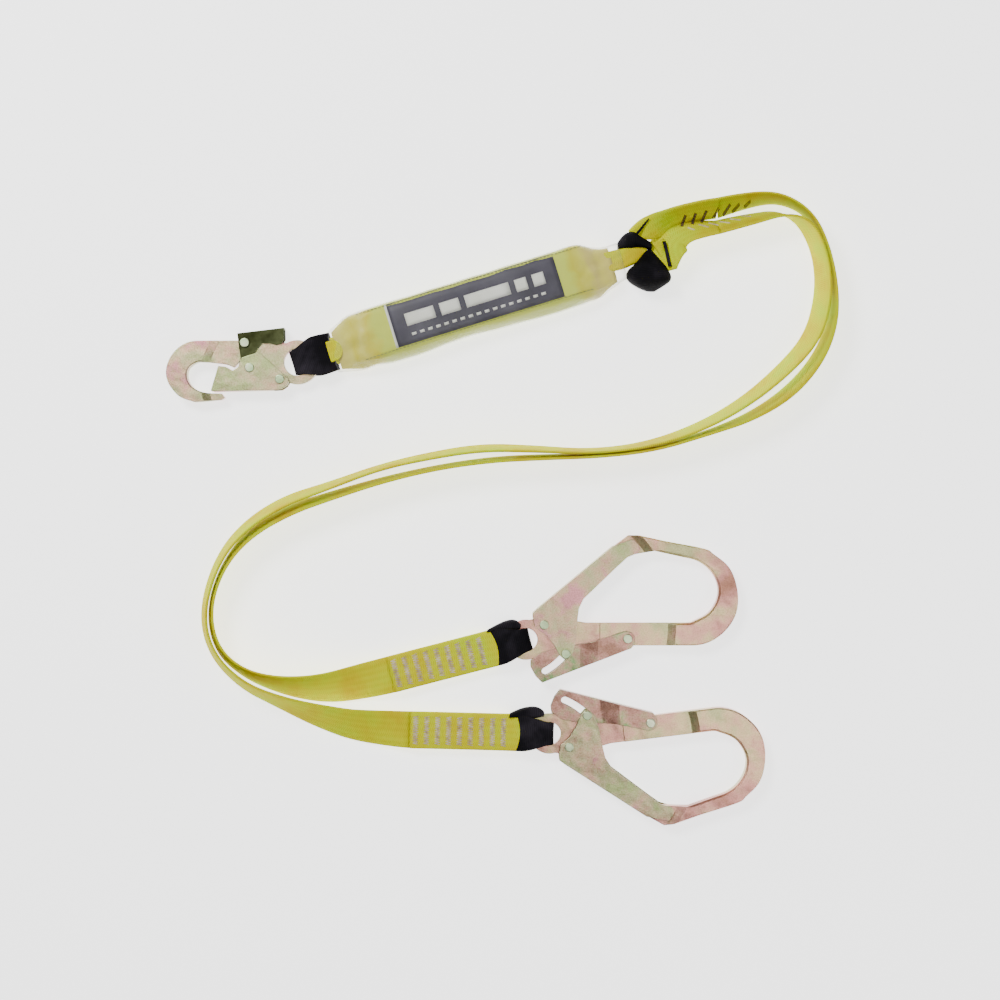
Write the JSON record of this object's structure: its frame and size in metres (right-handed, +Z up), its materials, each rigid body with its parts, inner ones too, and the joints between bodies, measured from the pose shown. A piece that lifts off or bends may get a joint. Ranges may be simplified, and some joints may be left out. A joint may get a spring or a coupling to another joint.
{
  "type": "shock absorbing lanyard",
  "caption": "Twin-leg webbing lanyard with a tear-out energy absorber, a double-action snap hook and scaffold hooks, laid out flat.",
  "frame": {"origin": "middle of the floor area under the hooks, absorber and yoke, at the floor", "axes": "+Z up from the floor the lanyard lies on; +X along the hooks towards their noses; +Y from the scaffold hooks towards the absorber"},
  "size_m": [0.6682, 0.6277, 0.0373],
  "materials": {
    "yellow_zinc": "yellow chromate zinc, satin with pink and green tints",
    "olive_zinc": "dark olive zinc, satin",
    "rivet_steel": "bright zinc, satin",
    "spring_steel": "drawn wire",
    "hi_vis_webbing": "woven polyester webbing, fluorescent yellow",
    "black_sleeve": "ribbed woven tube, black",
    "clear_cover": "clear soft PVC film",
    "wrap_fabric": "pale yellow fabric",
    "label_film": "dark grey printed film",
    "light_thread": "pale polyester thread",
    "sewing_thread": "brown and beige polyester thread"
  },
  "bodies": {
    "absorber": {"absorber_cover": "clear_cover", "absorber_wrap": "wrap_fabric", "cover_stitching": "light_thread", "front_loop": "hi_vis_webbing", "front_wear_sleeve": "black_sleeve", "id_label": "label_film", "leg_a_eye_end": "hi_vis_webbing", "leg_a_stitching": "sewing_thread", "leg_a_wear_sleeve": "black_sleeve", "leg_a_webbing": "hi_vis_webbing", "leg_b_eye_end": "hi_vis_webbing", "leg_b_stitching": "sewing_thread", "leg_b_wear_sleeve": "black_sleeve", "leg_b_webbing": "hi_vis_webbing", "rear_loop": "hi_vis_webbing", "rear_wear_sleeve": "black_sleeve", "tear_webbing": "hi_vis_webbing", "yoke_stitching": "sewing_thread", "yoke_wear_sleeve": "black_sleeve", "yoke_webbing": "hi_vis_webbing"},
    "snap_hook": {"snap_frame": "yellow_zinc", "snap_gate_rivet": "rivet_steel", "snap_lock_rivet": "rivet_steel", "snap_gate_spring": "spring_steel", "snap_lock_spring": "spring_steel"},
    "snap_hook_gate": {"snap_gate": "yellow_zinc", "snap_latch_pin": "rivet_steel"},
    "snap_hook_lock": {"snap_lock": "olive_zinc"},
    "scaffold_hook_a": {"hook_a_frame": "yellow_zinc", "hook_a_gate_rivet": "rivet_steel", "hook_a_lock_rivet": "rivet_steel", "hook_a_gate_spring": "spring_steel", "hook_a_lock_spring": "spring_steel"},
    "scaffold_hook_a_gate": {"hook_a_gate": "yellow_zinc", "hook_a_latch_pin": "rivet_steel"},
    "scaffold_hook_a_lock": {"hook_a_lock": "yellow_zinc"},
    "scaffold_hook_b": {"hook_b_frame": "yellow_zinc", "hook_b_gate_rivet": "rivet_steel", "hook_b_lock_rivet": "rivet_steel", "hook_b_gate_spring": "spring_steel", "hook_b_lock_spring": "spring_steel"},
    "scaffold_hook_b_gate": {"hook_b_gate": "yellow_zinc", "hook_b_latch_pin": "rivet_steel"},
    "scaffold_hook_b_lock": {"hook_b_lock": "yellow_zinc"}
  },
  "joints": [
    {"name": "snap_swing", "type": "hinge", "parent": "absorber", "child": "snap_hook", "pos_m": [-0.1683, 0.1502, 0.0092], "axis": [0, 0, 1], "range_deg": [-20, 20]},
    {"name": "snap_gate_open", "type": "hinge", "parent": "snap_hook", "child": "snap_hook_gate", "pos_m": [-0.1854, 0.133, 0.0092], "axis": [0, 0, -1], "range_deg": [0, 17], "stiffness_Nm_per_rad": 0.3, "springref_deg": -22.92, "deforming": ["snap_gate_spring"]},
    {"name": "snap_lock_press", "type": "hinge", "parent": "snap_hook", "child": "snap_hook_lock", "pos_m": [-0.2206, 0.1695, 0.0092], "axis": [0, 0, -1], "range_deg": [0, 15], "deforming": ["snap_lock_spring"]},
    {"name": "hook_a_swing", "type": "hinge", "parent": "absorber", "child": "scaffold_hook_a", "pos_m": [0.0607, -0.1278, 0.0092], "axis": [0, 0, 1], "range_deg": [-12, 15]},
    {"name": "hook_a_gate_open", "type": "hinge", "parent": "scaffold_hook_a", "child": "scaffold_hook_a_gate", "pos_m": [0.0788, -0.1126, 0.0092], "axis": [0, 0, -1], "range_deg": [0, 40], "stiffness_Nm_per_rad": 0.25, "springref_deg": -22.92, "deforming": ["hook_a_gate_spring"]},
    {"name": "hook_a_lock_press", "type": "hinge", "parent": "scaffold_hook_a", "child": "scaffold_hook_a_lock", "pos_m": [0.1624, -0.1265, 0.0092], "axis": [0, 0, -1], "range_deg": [0, 7], "deforming": ["hook_a_lock_spring"]},
    {"name": "hook_b_swing", "type": "hinge", "parent": "absorber", "child": "scaffold_hook_b", "pos_m": [0.0841, -0.2218, 0.0092], "axis": [0, 0, 1], "range_deg": [-15, 12]},
    {"name": "hook_b_gate_open", "type": "hinge", "parent": "scaffold_hook_b", "child": "scaffold_hook_b_gate", "pos_m": [0.10392, -0.23468, 0.0092], "axis": [0, 0, 1], "range_deg": [0, 40], "stiffness_Nm_per_rad": 0.25, "springref_deg": -22.92, "deforming": ["hook_b_gate_spring"]},
    {"name": "hook_b_lock_press", "type": "hinge", "parent": "scaffold_hook_b", "child": "scaffold_hook_b_lock", "pos_m": [0.1852, -0.2107, 0.0092], "axis": [0, 0, 1], "range_deg": [0, 7], "deforming": ["hook_b_lock_spring"]}
  ],
  "couplings": [
    {"joint": "snap_lock_press", "follows": "snap_gate_open", "ratio": 0.88235},
    {"joint": "hook_a_lock_press", "follows": "hook_a_gate_open", "ratio": 0.175},
    {"joint": "hook_b_lock_press", "follows": "hook_b_gate_open", "ratio": 0.175}
  ]
}
